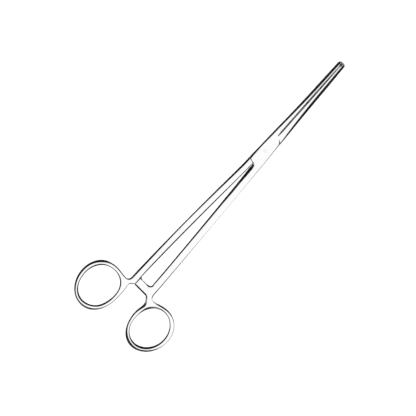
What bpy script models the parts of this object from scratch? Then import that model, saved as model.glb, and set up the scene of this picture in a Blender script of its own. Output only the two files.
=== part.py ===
"""Long ring-handled forceps with a box lock and a ratchet, lying flat and closed.

The long axis is Y with the tips at +Y, the thickness is Z, and the bench is z = 0.
Each arm is one forging: finger ring, shank, ratchet tongue, its half of the lock and a jaw.
The box arm has the right-hand ring and the left-hand jaw. The tongue arm passes through it.
"""

from math import cos, pi, radians, sin

import bmesh
import bpy
from mathutils import Matrix, Vector

MM = 0.001

# Whole instrument
OVERALL_LENGTH = 240.0 * MM
TIP_TO_PIVOT = 79.8 * MM
TIP_Y = OVERALL_LENGTH / 2
PIVOT_Y = TIP_Y - TIP_TO_PIVOT
PIVOT_X = 0.5 * MM
PIVOT = Vector((PIVOT_X, PIVOT_Y))

# Finger rings: the near side is the one that faces the middle line
RING_WIRE = 2.55 * MM
RING_THICKNESS = 4.0 * MM
RING_STATIONS = 20
HEEL_ANGLE = radians(124)
BOX_RING_HOLE_WIDTH = 24.4 * MM
BOX_RING_HOLE_LENGTH = 29.2 * MM
BOX_RING_NEAR_SIDE = 8.1 * MM
BOX_RING_LEAD = 1.85 * MM
BOX_RING_LEAN = radians(-3)
TONGUE_RING_HOLE_WIDTH = 24.6 * MM
TONGUE_RING_HOLE_LENGTH = 29.6 * MM
TONGUE_RING_NEAR_SIDE = 8.0 * MM
TONGUE_RING_LEAN = radians(7)

# Each ring leaves its oval a little: the angle of a bulge, and how far it stands out or in
BOX_RING_BULGES = ((radians(-132), 0.4 * MM), (radians(-45), -0.75 * MM))
TONGUE_RING_BULGES = ((radians(138), 1.1 * MM), (radians(50), 0.7 * MM))

# Heels, where each ring gathers into its shank
HEEL_SINK = 0.7 * MM
HEEL_Y = -TIP_Y + TONGUE_RING_HOLE_LENGTH + 2 * RING_WIRE - HEEL_SINK
HEEL_FLARE = 1.9 * MM
HEEL_DEPTH = 4.8 * MM
BOX_HEEL_SET_IN = 4.9 * MM
TONGUE_HEEL_SET_IN = 2.3 * MM

# Ratchet
RATCHET_HEIGHT = 6.0 * MM
RATCHET_BOTTOM_Y = HEEL_Y + 0.1 * MM
RATCHET_TOP_Y = RATCHET_BOTTOM_Y + RATCHET_HEIGHT
RATCHET_THICKNESS = 1.9 * MM
RATCHET_SPLIT = 0.1 * MM
RATCHET_FILLET = 1.7 * MM
RATCHET_ROOT = 2.0 * MM
RATCHET_END_GAP = 0.25 * MM
RATCHET_TEETH = 4
RATCHET_PITCH = 1.5 * MM
RATCHET_TOOTH_DEPTH = 0.5 * MM
RATCHET_TOOTH_START = 0.6 * MM

# Box lock: the near end faces the rings and the far end faces the tips
BOX_THICKNESS = 5.6 * MM
BOX_LEFT = 4.55 * MM
BOX_LEFT_TAPER = 0.6 * MM
BOX_RIGHT_NEAR = 5.9 * MM
BOX_RIGHT_FAR = 4.85 * MM
NEAR_SHOULDER_Y = PIVOT_Y - 9.8 * MM
FAR_SHOULDER_Y = PIVOT_Y + 10.2 * MM
NEAR_SHOULDER_SLANT = radians(24)
FAR_SHOULDER_SLANT = radians(36)
SHOULDER_GAP = 0.2 * MM
CROTCH_X = 0.3 * MM
LOCK_FADE = 2.2 * MM
TONGUE_THICKNESS = 2.0 * MM
TONGUE_REACH = 2.75 * MM
TONGUE_INSET = 0.6 * MM
TONGUE_ROOT = 1.5 * MM
LOCK_CLEARANCE = 0.08 * MM
OPEN_LIMIT = radians(58)
OPEN_MARGIN = radians(3)
PIN_DIAMETER = 2.4 * MM
PIN_CLEARANCE = 0.04 * MM
PIN_SIDES = 32
MID_Z = BOX_THICKNESS / 2

# Shanks: the inner edge is the one that faces the middle line
SHANK_START_Y = RATCHET_TOP_Y + 2.9 * MM
SHANK_END_Y = NEAR_SHOULDER_Y - 10.4 * MM
SHANK_STATIONS = 6
SHANK_THICKNESS = 4.2 * MM
BOX_SHANK_INNER_START = 4.65 * MM
BOX_SHANK_INNER_END = 0.75 * MM
BOX_SHANK_WIDTH_START = 4.9 * MM
BOX_SHANK_WIDTH_END = 5.6 * MM
BOX_SHANK_SWELL = -0.25 * MM
BOX_SHANK_BOW = 0.3 * MM
TONGUE_SHANK_INNER_START = 5.0 * MM
TONGUE_SHANK_INNER_END = 0.35 * MM
TONGUE_SHANK_WIDTH_START = 4.3 * MM
TONGUE_SHANK_WIDTH_END = 4.45 * MM
TONGUE_SHANK_SWELL = 0.1 * MM
TONGUE_SHANK_BOW = 0.2 * MM

# Jaws: their reach is measured from the gap between them
GAP_X_START = 0.27 * MM
GAP_X_TIP = -0.2 * MM
JAW_GAP = 0.3 * MM
JAW_LEFT_START = 4.0 * MM
JAW_RIGHT_START = 4.5 * MM
JAW_LEFT_MIDDLE = 2.95 * MM
JAW_RIGHT_MIDDLE = 3.45 * MM
JAW_MIDDLE_THICKNESS = 4.0 * MM
JAW_TIP_WIDTH = 5.0 * MM
JAW_TIP_THICKNESS = 2.6 * MM
SERRATION_PITCH = 1.2 * MM
SERRATION_DEPTH = 0.35 * MM
SERRATION_START = 2.0 * MM
SERRATION_END = 1.5 * MM

# Build settings
SMOOTHING_LEVELS = 1
CUT_REACH = 20 * MM
SHARP_ANGLE = radians(35)


def clear_scene():
    for item in list(bpy.data.objects):
        bpy.data.objects.remove(item, do_unlink=True)


def steel(name, shade, roughness):
    """A polished or satin stainless steel."""
    material = bpy.data.materials.new(name)
    material.use_nodes = True
    shader = material.node_tree.nodes["Principled BSDF"]
    shader.inputs["Base Color"].default_value = (shade, shade, shade * 1.01, 1)
    shader.inputs["Metallic"].default_value = 1
    shader.inputs["Roughness"].default_value = roughness
    material.diffuse_color = (shade, shade, shade, 1)
    return material


def mix(start, end, part):
    return start + (end - start) * part


# Lines in plan: each is a point and a direction


def shifted(line, amount):
    """A line moved sideways, to its left when the amount is positive."""
    point, direction = line
    return point + Vector((-direction.y, direction.x)) * amount, direction


def turned(line, angle):
    """A line turned about the pin, clockwise seen from above."""
    point, direction = line
    turn = Matrix.Rotation(-angle, 2)
    return PIVOT + turn @ (point - PIVOT), turn @ direction


def at(line, reach):
    point, direction = line
    return point + direction * reach


def crossing(first, second):
    """Where two lines meet."""
    (a, u), (b, v) = first, second
    turn = u.x * v.y - u.y * v.x
    return a + u * (((b.x - a.x) * v.y - (b.y - a.y) * v.x) / turn)


def through(start, end):
    return start, (end - start).normalized()


# Meshes and Booleans


def finish_mesh(name, build):
    """Turns a bmesh into an object with its faces pointing out."""
    bmesh.ops.recalc_face_normals(build, faces=build.faces)
    mesh_data = bpy.data.meshes.new(name)
    build.to_mesh(mesh_data)
    build.free()
    item = bpy.data.objects.new(name, mesh_data)
    bpy.context.collection.objects.link(item)
    return item


def prism(name, outline, low, high, lay=lambda u, v, w: (u, v, w)):
    """An outline pushed from low to high; lay turns it to another plane."""
    build = bmesh.new()
    bottom = [build.verts.new(lay(u, v, low)) for u, v in outline]
    top = [build.verts.new(lay(u, v, high)) for u, v in outline]
    build.faces.new(bottom)
    build.faces.new(top)
    for index in range(len(outline)):
        after = (index + 1) % len(outline)
        build.faces.new((bottom[index], bottom[after], top[after], top[index]))
    return finish_mesh(name, build)


def combine(target, tool, operation):
    """Adds a Boolean to the target and keeps its tool out of renders."""
    step = target.modifiers.new(tool.name, "BOOLEAN")
    step.operation = operation
    step.object = tool
    tool.hide_render = True
    tool.display_type = "WIRE"


def settle(target, material, origin):
    """Applies the modifiers, then puts the object's origin at the given point."""
    graph = bpy.context.evaluated_depsgraph_get()
    result = bpy.data.meshes.new_from_object(target.evaluated_get(graph))
    target.modifiers.clear()
    target.data = result
    result.name = target.name
    result.transform(Matrix.Translation(-origin))
    target.location = origin
    result.materials.clear()
    result.materials.append(material)
    result.shade_smooth()
    result.set_sharp_from_angle(angle=SHARP_ANGLE)
    return target


# Cross-sections of an arm


class Station:
    """One cross-section: its inner and outer edge in plan, its thickness, and how square it is."""

    def __init__(self, inner, outer, thickness, square):
        self.inner = Vector(inner)
        self.outer = Vector(outer)
        self.half = thickness / 2
        self.square = square


def station_points(station, side):
    """Ten control points, from the top by the outer edge, whose smoothed section has the true size."""
    corner_x = mix(0.78, 1.0, station.square)
    corner_z = mix(0.74, 1.0, station.square)
    flat = mix(0.3, 0.78, station.square)
    wide = 6 / (4 + 2 * corner_x)
    tall = 6 / (5 + corner_z)
    half_loop = (
        (flat, tall),
        (corner_x * wide, corner_z * tall),
        (wide, 0),
        (corner_x * wide, -corner_z * tall),
        (flat, -tall),
    )
    loop = half_loop + tuple((-across, up) for across, up in reversed(half_loop))
    middle = (station.inner + station.outer) / 2
    reach = (station.outer - station.inner) / 2
    points = []
    for across, up in loop:
        plan = middle + reach * across
        points.append(Vector((side * plan.x, plan.y, MID_Z + up * station.half)))
    return points


class Ring:
    """One finger ring: an oval hole with its own bulges, and where it stands."""

    def __init__(self, width, length, near_side, lead, lean, bulges):
        self.width = width
        self.length = length
        self.centre = Vector((near_side + RING_WIRE + width / 2, lead - TIP_Y + RING_WIRE + length / 2))
        self.turn = Matrix.Rotation(lean, 2)
        self.bulges = bulges

    def hole_and_normal(self, angle):
        """A point of the hole's edge seen from its centre, and the way out there."""
        spot = Vector((cos(angle) * self.width / 2, sin(angle) * self.length / 2))
        normal = Vector((spot.x / self.width ** 2, spot.y / self.length ** 2)).normalized()
        for middle, amount in self.bulges:
            spot += normal * (amount * max(0, cos(angle - middle)) ** 4)
        return self.turn @ spot, self.turn @ normal


def ring_points(ring, heel_outer, heel_inner):
    """Eight control points at each station round the finger ring, starting at the heel."""
    round_up = 3 / (2 + cos(2 * pi / RING_STATIONS))
    bulge = 3 / (2 + cos(pi / 4))
    sections = []
    for index in range(RING_STATIONS):
        spot, normal = ring.hole_and_normal(HEEL_ANGLE + 2 * pi * index / RING_STATIONS)
        hole = ring.centre + spot * round_up
        rim = ring.centre + (spot + normal * RING_WIRE) * round_up
        if index == 0:
            rim = heel_outer
        if index == 1:
            rim = heel_inner
        middle = (hole + rim) / 2
        reach = (rim - hole) / 2
        section = []
        for step in range(8):
            turn = pi - step * pi / 4
            plan = middle + reach * (cos(turn) * bulge)
            section.append((plan, MID_Z + sin(turn) * bulge * RING_THICKNESS / 2))
        sections.append(section)
    return sections


def arm_body(name, side, ring_sections, stations):
    """The whole forging as one control cage: ring, heel, shank, lock and jaw."""
    build = bmesh.new()
    ring = []
    for section in ring_sections:
        ring.append([build.verts.new((side * plan.x, plan.y, up)) for plan, up in section])
    for index in range(RING_STATIONS):
        here = ring[index]
        after = ring[(index + 1) % RING_STATIONS]
        for step in range(8):
            if index == 0 and 2 <= step <= 5:
                continue
            turn = (step + 1) % 8
            build.faces.new((here[step], here[turn], after[turn], after[step]))
    last = ring[0][2:7] + ring[1][6:1:-1]
    for station in stations:
        loop = [build.verts.new(point) for point in station_points(station, side)]
        for index in range(10):
            after = (index + 1) % 10
            build.faces.new((last[index], last[after], loop[after], loop[index]))
        last = loop
    build.faces.new(last)
    body = finish_mesh(name, build)
    smooth = body.modifiers.new("Smoothing", "SUBSURF")
    smooth.levels = SMOOTHING_LEVELS
    smooth.render_levels = SMOOTHING_LEVELS
    return body


def heel_stations(inner, width):
    """Where the ring gathers into the shank, beside the ratchet."""
    outer = inner + width
    low = Station(
        (inner + 0.7 * HEEL_DEPTH, HEEL_Y - 0.27 * HEEL_DEPTH),
        (outer + 0.27 * HEEL_FLARE, HEEL_Y + 0.19 * HEEL_DEPTH),
        RING_THICKNESS,
        0.2,
    )
    high = Station(
        (inner, RATCHET_BOTTOM_Y + 0.28 * RATCHET_HEIGHT),
        (outer, RATCHET_BOTTOM_Y + 0.68 * RATCHET_HEIGHT),
        RING_THICKNESS,
        0.2,
    )
    return [low, high]


def shank_stations(inner_start, inner_end, width_start, width_end, swell, bow):
    """The long plain run between the ratchet and the lock."""
    stations = []
    for index in range(SHANK_STATIONS):
        part = index / (SHANK_STATIONS - 1)
        rise = 4 * part * (1 - part)
        y = mix(SHANK_START_Y, SHANK_END_Y, part)
        inner = mix(inner_start, inner_end, part) + bow * rise
        width = mix(width_start, width_end, part) + swell * rise
        stations.append(Station((inner, y), (inner + width, y), SHANK_THICKNESS, 0.25))
    return stations


def box_lock_stations():
    """The box arm through the lock, before it is cut: shank, crotch and cheeks."""
    inner = BOX_SHANK_INNER_END
    outer = inner + BOX_SHANK_WIDTH_END
    low = NEAR_SHOULDER_Y - 2.5 * LOCK_FADE
    crotch_y = NEAR_SHOULDER_Y - 1.5 * LOCK_FADE
    rounded = mix(SHANK_THICKNESS, BOX_THICKNESS, 0.6)
    stations = [
        Station((CROTCH_X + 0.2 * MM, low), (outer - 0.3 * MM, low), rounded, 0.5),
        Station((CROTCH_X - 0.2 * MM, crotch_y), (outer - 0.4 * MM, crotch_y + 1.6 * MM), BOX_THICKNESS, 1),
        Station((-BOX_LEFT - 0.2 * MM, crotch_y + MM), (BOX_RIGHT_NEAR, NEAR_SHOULDER_Y), BOX_THICKNESS, 1),
    ]
    for part in (0.18, 0.48, 0.78, 1.03):
        y = mix(NEAR_SHOULDER_Y, FAR_SHOULDER_Y, part)
        left = BOX_LEFT - BOX_LEFT_TAPER * part
        right = mix(BOX_RIGHT_NEAR, BOX_RIGHT_FAR, part)
        stations.append(Station((-left, y), (right, y), BOX_THICKNESS, 1))
    return stations


def tongue_lock_stations():
    """The tongue arm through the lock, before it is thinned: it crosses from left to right."""
    inner = TONGUE_SHANK_INNER_END
    outer = inner + TONGUE_SHANK_WIDTH_END
    low = NEAR_SHOULDER_Y - 2.5 * LOCK_FADE
    square_y = NEAR_SHOULDER_Y - MM
    rounded = mix(SHANK_THICKNESS, BOX_THICKNESS, 0.6)
    return [
        Station((inner - 0.1 * MM, low), (outer - 0.15 * MM, low), rounded, 0.5),
        Station((inner - 0.2 * MM, square_y), (BOX_LEFT, square_y), BOX_THICKNESS, 1),
        Station((-PIVOT_X - 3.5 * MM, PIVOT_Y), (BOX_LEFT, PIVOT_Y), BOX_THICKNESS, 1),
        Station((-BOX_RIGHT_FAR, FAR_SHOULDER_Y - 2 * MM), (BOX_LEFT, FAR_SHOULDER_Y), BOX_THICKNESS, 1),
        Station((-BOX_RIGHT_FAR, FAR_SHOULDER_Y + MM), (BOX_LEFT, FAR_SHOULDER_Y + MM), BOX_THICKNESS, 1),
    ]


def gap_x(y):
    """Where the closed jaws meet at a height y along the instrument."""
    return mix(GAP_X_START, GAP_X_TIP, (y - FAR_SHOULDER_Y) / (TIP_Y - FAR_SHOULDER_Y))


def jaw_stations(side, start, middle):
    """A round taper centred on the jaw gap; the gap cutter leaves half of it."""
    tip = JAW_TIP_WIDTH / 2
    thick = JAW_MIDDLE_THICKNESS
    thin = JAW_TIP_THICKNESS
    rows = (
        (0.10, start, mix(BOX_THICKNESS, thick, 0.25), 0.55),
        (0.25, mix(start, middle, 0.5), mix(BOX_THICKNESS, thick, 0.55), 0.3),
        (0.50, middle, thick, 0.2),
        (0.75, mix(middle, tip, 0.45), mix(thick, thin, 0.5), 0.2),
        (0.94, tip, thin, 0.2),
        (0.985, tip * 0.86, thin * 0.86, 0.2),
        (1.003, tip * 0.5, thin * 0.5, 0.2),
    )
    stations = []
    for part, reach, thickness, square in rows:
        y = mix(FAR_SHOULDER_Y, TIP_Y, part)
        seam = side * gap_x(y)
        stations.append(Station((seam - reach, y), (seam + reach, y), thickness, square))
    return stations


# Lines of the lock in plan


def near_shoulder():
    """Where the tongue arm's shank meets the cheeks, from its outer corner inwards."""
    direction = Vector((cos(NEAR_SHOULDER_SLANT), -sin(NEAR_SHOULDER_SLANT)))
    return Vector((-BOX_LEFT, NEAR_SHOULDER_Y)), direction


def far_shoulder():
    """Where the tongue arm's jaw meets the cheeks, from its outer corner inwards."""
    direction = Vector((-cos(FAR_SHOULDER_SLANT), sin(FAR_SHOULDER_SLANT)))
    return Vector((BOX_RIGHT_FAR, FAR_SHOULDER_Y)), direction


def seam_line():
    return through(Vector((gap_x(FAR_SHOULDER_Y), FAR_SHOULDER_Y)), Vector((gap_x(TIP_Y), TIP_Y)))


def tongue_left_line():
    """The tongue's left edge, from just inside the near shoulder to the start of the jaw gap."""
    return through(at(near_shoulder(), TONGUE_INSET), crossing(far_shoulder(), seam_line()))


def tongue_right_line():
    """The tongue's right edge, from just inside the far shoulder past the pin, a set reach away."""
    corner = at(far_shoulder(), TONGUE_INSET)
    back = PIVOT - corner
    lean = back.angle(Vector((0, -1))) - TONGUE_REACH / back.length
    return corner, Vector((-sin(lean), -cos(lean)))


def jaw_face(first_y, outward):
    """Points of one serrated gripping face, from its root to its tip."""
    count = int((TIP_Y - SERRATION_END - first_y) / SERRATION_PITCH)
    points = []
    for index in range(2 * count + 1):
        y = first_y + index * SERRATION_PITCH / 2
        depth = SERRATION_DEPTH * (index % 2)
        points.append((gap_x(y) + outward * (JAW_GAP / 2 + depth), y))
    return points


# Cuts of the two arms


def cut_box_arm(arm):
    """Opens the lock in the box arm: near notch, room for the other jaw, and the window."""
    near = shifted(near_shoulder(), SHOULDER_GAP / 2)
    inner = crossing(near, (Vector((CROTCH_X, 0)), Vector((0, 1))))
    below = inner.y - CUT_REACH
    notch = [at(near, -CUT_REACH)[:], inner[:], (inner.x, below), (-CUT_REACH, below)]
    combine(arm, prism("near_notch", notch, -CUT_REACH, CUT_REACH), "DIFFERENCE")

    beyond = TIP_Y + CUT_REACH
    far = shifted(far_shoulder(), SHOULDER_GAP / 2)
    root = crossing(far, shifted(seam_line(), JAW_GAP / 2))
    room = [at(far, -CUT_REACH)[:], root[:]]
    room += jaw_face(root.y + SERRATION_START, -1)
    room += [(gap_x(TIP_Y) - JAW_GAP / 2, beyond), (CUT_REACH, beyond)]
    combine(arm, prism("jaw_room", room, -CUT_REACH, CUT_REACH), "DIFFERENCE")

    left = shifted(tongue_left_line(), SHOULDER_GAP / 2)
    right = shifted(tongue_right_line(), SHOULDER_GAP / 2)
    left_open = turned(left, OPEN_LIMIT + OPEN_MARGIN)
    right_open = turned(right, OPEN_LIMIT + OPEN_MARGIN)
    window = [
        at(left_open, -CUT_REACH)[:],
        crossing(left_open, left)[:],
        at(left, 1.6 * CUT_REACH)[:],
        (CUT_REACH, PIVOT_Y + CUT_REACH),
        at(right_open, -CUT_REACH)[:],
        crossing(right_open, right)[:],
        at(right, 1.3 * CUT_REACH)[:],
        (-CUT_REACH, PIVOT_Y - CUT_REACH),
    ]
    half = TONGUE_THICKNESS / 2 + LOCK_CLEARANCE
    combine(arm, prism("window", window, MID_Z - half, MID_Z + half), "DIFFERENCE")


def cut_tongue_arm(arm):
    """Clears the arm between its shoulders and beside its jaw, then adds the tongue back."""
    beyond = TIP_Y + CUT_REACH
    near = shifted(near_shoulder(), -SHOULDER_GAP / 2)
    far = shifted(far_shoulder(), -SHOULDER_GAP / 2)
    root = crossing(far, shifted(seam_line(), -JAW_GAP / 2))
    room = [at(near, -CUT_REACH)[:], at(near, CUT_REACH)[:], at(far, -CUT_REACH)[:], root[:]]
    room += jaw_face(root.y + SERRATION_START, 1)
    room += [(gap_x(TIP_Y) + JAW_GAP / 2, beyond), (-CUT_REACH, beyond)]
    combine(arm, prism("lock_room", room, -CUT_REACH, CUT_REACH), "DIFFERENCE")

    left = shifted(tongue_left_line(), -SHOULDER_GAP / 2)
    right = shifted(tongue_right_line(), -SHOULDER_GAP / 2)
    near_root = shifted(near, -TONGUE_ROOT)
    far_root = shifted(far, -TONGUE_ROOT)
    crotch = crossing(near_shoulder(), (Vector((CROTCH_X - TONGUE_INSET, 0)), Vector((0, 1))))
    level = (Vector((0, NEAR_SHOULDER_Y)), Vector((1, 0)))
    plate = [
        crossing(near_root, left)[:],
        crossing(near_root, (crotch, Vector((0, 1))))[:],
        crotch[:],
        crossing(right, level)[:],
        crossing(right, far_root)[:],
        crossing(far_root, left)[:],
    ]
    half = TONGUE_THICKNESS / 2
    combine(arm, prism("tongue_plate", plate, MID_Z - half, MID_Z + half), "UNION")


def circle(radius):
    points = []
    for index in range(PIN_SIDES):
        angle = 2 * pi * index / PIN_SIDES
        points.append((PIVOT_X + radius * cos(angle), PIVOT_Y + radius * sin(angle)))
    return points


def drill_pin_hole(arm):
    hole = prism(arm.name + "_pin_hole", circle(PIN_DIAMETER / 2 + PIN_CLEARANCE), -CUT_REACH, CUT_REACH)
    combine(arm, hole, "DIFFERENCE")


def add_ratchet(arm, side, root_inner, end_inner, layer):
    """The flat tongue that crosses from one shank to the other, with teeth between the two."""
    inside = root_inner + RATCHET_ROOT
    tip = RATCHET_END_GAP - end_inner
    lift = RATCHET_TOP_Y + RATCHET_FILLET
    outline = [(inside, RATCHET_BOTTOM_Y), (inside, lift), (root_inner, lift)]
    for step in range(1, 6):
        angle = radians(-15 * step)
        across = root_inner - RATCHET_FILLET * (1 - cos(angle))
        outline.append((across, lift + RATCHET_FILLET * sin(angle)))
    outline += [(root_inner - RATCHET_FILLET, RATCHET_TOP_Y), (tip, RATCHET_TOP_Y), (tip, RATCHET_BOTTOM_Y)]
    outline = [(side * across, along) for across, along in outline]
    face = MID_Z + layer * RATCHET_SPLIT / 2
    back = face + layer * RATCHET_THICKNESS
    tongue = prism(arm.name + "_ratchet", outline, min(face, back), max(face, back))
    combine(arm, tongue, "UNION")

    profile = []
    first = tip + RATCHET_TOOTH_START
    for index in range(RATCHET_TEETH):
        start = first + index * RATCHET_PITCH
        profile.append((side * start, face))
        profile.append((side * (start + 0.15 * RATCHET_PITCH), face + layer * RATCHET_TOOTH_DEPTH))
    end = first + RATCHET_TEETH * RATCHET_PITCH
    clear = face - layer * RATCHET_SPLIT / 4
    profile += [(side * end, face), (side * end, clear), (side * first, clear)]
    low = RATCHET_BOTTOM_Y - RATCHET_FILLET
    comb = prism(arm.name + "_ratchet_comb", profile, low, lift, lambda u, v, w: (u, w, v))
    combine(arm, comb, "DIFFERENCE")


# The three pieces


def heel_rims(inner, width, set_in):
    """The two rim points that the shank grows from: the outer corner and the inner side."""
    outer = Vector((inner + width + HEEL_FLARE, HEEL_Y - 0.09 * HEEL_DEPTH))
    return outer, Vector((inner + set_in, HEEL_Y - HEEL_DEPTH))


def make_box_arm(material):
    inner = BOX_SHANK_INNER_START
    width = BOX_SHANK_WIDTH_START
    rims = heel_rims(inner, width, BOX_HEEL_SET_IN)
    ring = Ring(
        BOX_RING_HOLE_WIDTH,
        BOX_RING_HOLE_LENGTH,
        BOX_RING_NEAR_SIDE,
        BOX_RING_LEAD,
        BOX_RING_LEAN,
        BOX_RING_BULGES,
    )
    stations = heel_stations(inner, width)
    stations += shank_stations(
        inner, BOX_SHANK_INNER_END, width, BOX_SHANK_WIDTH_END, BOX_SHANK_SWELL, BOX_SHANK_BOW
    )
    stations += box_lock_stations()
    stations += jaw_stations(1, JAW_LEFT_START, JAW_LEFT_MIDDLE)
    arm = arm_body("box_arm", 1, ring_points(ring, *rims), stations)
    cut_box_arm(arm)
    drill_pin_hole(arm)
    add_ratchet(arm, 1, inner, TONGUE_SHANK_INNER_START, 1)
    return settle(arm, material, Vector((0, 0, 0)))


def make_tongue_arm(material):
    inner = TONGUE_SHANK_INNER_START
    width = TONGUE_SHANK_WIDTH_START
    rims = heel_rims(inner, width, TONGUE_HEEL_SET_IN)
    ring = Ring(
        TONGUE_RING_HOLE_WIDTH,
        TONGUE_RING_HOLE_LENGTH,
        TONGUE_RING_NEAR_SIDE,
        0,
        TONGUE_RING_LEAN,
        TONGUE_RING_BULGES,
    )
    stations = heel_stations(inner, width)
    stations += shank_stations(
        inner, TONGUE_SHANK_INNER_END, width, TONGUE_SHANK_WIDTH_END, TONGUE_SHANK_SWELL, TONGUE_SHANK_BOW
    )
    stations += tongue_lock_stations()
    stations += jaw_stations(-1, JAW_RIGHT_START, JAW_RIGHT_MIDDLE)
    arm = arm_body("tongue_arm", -1, ring_points(ring, *rims), stations)
    cut_tongue_arm(arm)
    drill_pin_hole(arm)
    add_ratchet(arm, -1, inner, BOX_SHANK_INNER_START, -1)
    return settle(arm, material, Vector((PIVOT_X, PIVOT_Y, MID_Z)))


def make_pin(material):
    """The lock pin, ground flush with both faces of the box."""
    pin = prism("lock_pin", circle(PIN_DIAMETER / 2), 0, BOX_THICKNESS)
    return settle(pin, material, Vector((PIVOT_X, PIVOT_Y, 0)))


clear_scene()
polished = steel("polished_stainless", 0.86, 0.16)
satin = steel("satin_stainless", 0.8, 0.3)
make_box_arm(polished)
make_tongue_arm(polished)
make_pin(satin)
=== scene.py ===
# %% [markdown]
# # Long forceps
# These are ring-handled forceps, forged from stainless steel and closed flat on a white bench.
# Two arms cross in a box lock: one arm has a slot through it, and the other passes through.
# The frame that is loaded first is the CAD model. It fixes where everything is and how it moves.
# The cells below make each arm again as one fine, smooth mesh, and give it real steel.

from math import cos, pi, radians, sin, tan

import bmesh
import bpy
from mathutils import Matrix, Vector


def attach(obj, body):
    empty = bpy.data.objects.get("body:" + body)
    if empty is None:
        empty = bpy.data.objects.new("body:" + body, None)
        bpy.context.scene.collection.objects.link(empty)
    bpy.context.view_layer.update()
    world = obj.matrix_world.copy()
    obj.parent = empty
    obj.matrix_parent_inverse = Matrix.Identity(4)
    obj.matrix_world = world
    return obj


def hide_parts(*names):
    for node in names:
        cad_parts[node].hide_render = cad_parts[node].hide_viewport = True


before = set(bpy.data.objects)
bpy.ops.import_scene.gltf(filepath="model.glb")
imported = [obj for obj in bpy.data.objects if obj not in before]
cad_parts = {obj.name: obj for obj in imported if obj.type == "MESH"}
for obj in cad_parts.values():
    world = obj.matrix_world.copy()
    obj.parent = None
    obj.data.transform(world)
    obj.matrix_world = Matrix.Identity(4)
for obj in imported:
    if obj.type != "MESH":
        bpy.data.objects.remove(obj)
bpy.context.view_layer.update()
MM = 0.001

# %% [markdown]
# ## The camera
# The photo looks straight down on the bench with a long lens, and the forceps lie askew in it.
# It is easiest to leave the forceps along Y, as they were modelled, and to roll the camera.
# A long lens far away keeps both ends of the forceps the same size.

# %% Camera
# How many millimetres the picture's width takes in, and how far the forceps are turned in it.
IMAGE_MM = 281.3
ROLL = radians(41.92)
CAMERA_HEIGHT = 1.6
LOOK_AT = Vector((-2.49, -14.2, 2.8)) * MM

lens = bpy.data.cameras.new("photo_camera")
lens.sensor_width = 36
lens.lens = lens.sensor_width * CAMERA_HEIGHT / (IMAGE_MM * MM)
camera = bpy.data.objects.new("photo_camera", lens)
camera.location = LOOK_AT + Vector((0, 0, CAMERA_HEIGHT))
camera.rotation_euler = (0, 0, ROLL)
bpy.context.scene.collection.objects.link(camera)
bpy.context.scene.camera = camera
print("camera lens", round(lens.lens), "mm")

# %% [markdown]
# ## Two finishes of stainless steel
# Surgical steel is a chromium steel. Its colour is a light, faintly cool grey.
# The outside is buffed on a soft wheel along the arms, which leaves very fine lines in a mirror.
# The pin is ground flush last and isn't buffed again, so its ends look satin.
# A metal shows its surroundings, so most of the look is in the roughness and in small bumps.
# Both patterns use Object coordinates in metres, so their scales below come from real sizes.

# %% Colours and nodes
def steel_colour(code):
    """An sRGB hex colour as the linear numbers that a shader takes."""
    channels = []
    for start in (1, 3, 5):
        value = int(code[start:start + 2], 16) / 255
        channels.append(value / 12.92 if value <= 0.04045 else ((value + 0.055) / 1.055) ** 2.4)
    return (*channels, 1)


def add_node(tree, kind, values=None, links=None, **settings):
    """Adds one node, with the values of its sockets and the sockets that feed them."""
    node = tree.nodes.new(kind)
    for key, value in settings.items():
        setattr(node, key, value)
    for key, value in (values or {}).items():
        node.inputs[key].default_value = value
    for key, source in (links or {}).items():
        tree.links.new(source, node.inputs[key])
    return node


# %% Steel
HAZE_SIZE = 9 * MM


def make_steel(name, colour, rough_low, rough_high, line_gap, line_depth):
    """Stainless steel with fine lines along Y; the gap between lines is in metres."""
    finish = bpy.data.materials.new(name)
    finish.use_nodes = True
    tree = finish.node_tree
    shader = tree.nodes["Principled BSDF"]
    shader.inputs["Base Color"].default_value = steel_colour(colour)
    shader.inputs["Metallic"].default_value = 1
    place = add_node(tree, "ShaderNodeTexCoord")
    # The lines run along Y, so the pattern is stretched that way.
    stretch = add_node(
        tree, "ShaderNodeMapping", {"Scale": (1, 0.03, 1)}, {"Vector": place.outputs["Object"]}
    )
    lines = add_node(
        tree,
        "ShaderNodeTexNoise",
        {"Scale": 1 / line_gap, "Detail": 3},
        {"Vector": stretch.outputs["Vector"]},
    )
    # A hand on the buffing wheel leaves the finish a little uneven from one spot to the next.
    haze = add_node(
        tree,
        "ShaderNodeTexNoise",
        {"Scale": 1 / HAZE_SIZE, "Detail": 2},
        {"Vector": place.outputs["Object"]},
    )
    blend = add_node(
        tree,
        "ShaderNodeMath",
        {},
        {0: lines.outputs["Fac"], 1: haze.outputs["Fac"]},
        operation="MULTIPLY",
    )
    rough = add_node(
        tree,
        "ShaderNodeMapRange",
        {"From Min": 0.1, "From Max": 0.45, "To Min": rough_low, "To Max": rough_high},
        {"Value": blend.outputs["Value"]},
    )
    bump = add_node(
        tree,
        "ShaderNodeBump",
        {"Strength": 1, "Distance": line_depth},
        {"Height": lines.outputs["Fac"]},
    )
    tree.links.new(rough.outputs["Result"], shader.inputs["Roughness"])
    tree.links.new(bump.outputs["Normal"], shader.inputs["Normal"])
    return finish


# The lines of a buffing wheel are about 0.02 mm apart; they are drawn 0.25 mm apart to show.
polished = make_steel("polished_stainless_steel", "#EFEFF0", 0.10, 0.18, 0.25 * MM, 0.0008 * MM)
satin = make_steel("satin_stainless_steel", "#E9EAEB", 0.16, 0.22, 0.18 * MM, 0.001 * MM)
print("finishes", polished.name, satin.name)

# %% [markdown]
# ## Sizes
# The sizes are in millimetres turned to metres. The main ones repeat the CAD model's, so each piece
# lands on it. The ratchet, the gaps and some widths differ a little, to follow the photo closer.
# The overall length of 240 mm is a stock size. The other sizes are proportions of the photo.

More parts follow.
